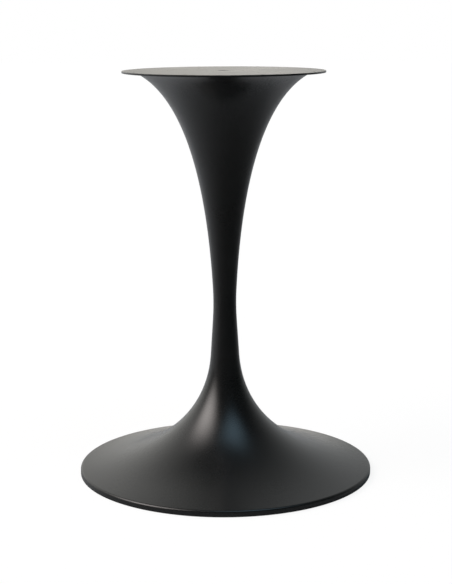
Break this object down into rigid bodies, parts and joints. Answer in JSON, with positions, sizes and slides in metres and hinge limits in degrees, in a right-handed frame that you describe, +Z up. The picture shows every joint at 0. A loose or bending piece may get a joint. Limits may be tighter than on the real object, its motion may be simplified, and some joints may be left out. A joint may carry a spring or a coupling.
{
  "type": "table base",
  "caption": "Trumpet-shaped pedestal base with a narrow waist, a wide round foot and a thin round top plate drilled for a table top.",
  "frame": {"origin": "on the floor, under the middle of the foot", "axes": "+Z up along the axis that everything is turned about; -Y towards the picture's camera"},
  "size_m": [0.5265, 0.5266, 0.72],
  "materials": {
    "shell_coating": "matt fine-textured powder coat",
    "plate_coating": "matt fine-textured powder coat",
    "bare_steel": "turned",
    "zinc_plated_steel": "satin",
    "black_screw_steel": "black oxide",
    "nylon": "turned",
    "glide_plastic": "moulded"
  },
  "bodies": {
    "root": {"top_plate": "plate_coating", "mouth_ring": "bare_steel", "upper_trumpet": "shell_coating", "lower_trumpet": "shell_coating", "waist_ring": "nylon", "inner_tube": "bare_steel", "top_collar": "bare_steel", "base_collar": "bare_steel", "tie_rod": "zinc_plated_steel", "top_sleeve_nut": "black_screw_steel", "bottom_sleeve_nut": "black_screw_steel", "base_plate": "plate_coating", "glide_studs": "zinc_plated_steel", "glide_pads": "glide_plastic"}
  },
  "joints": []
}
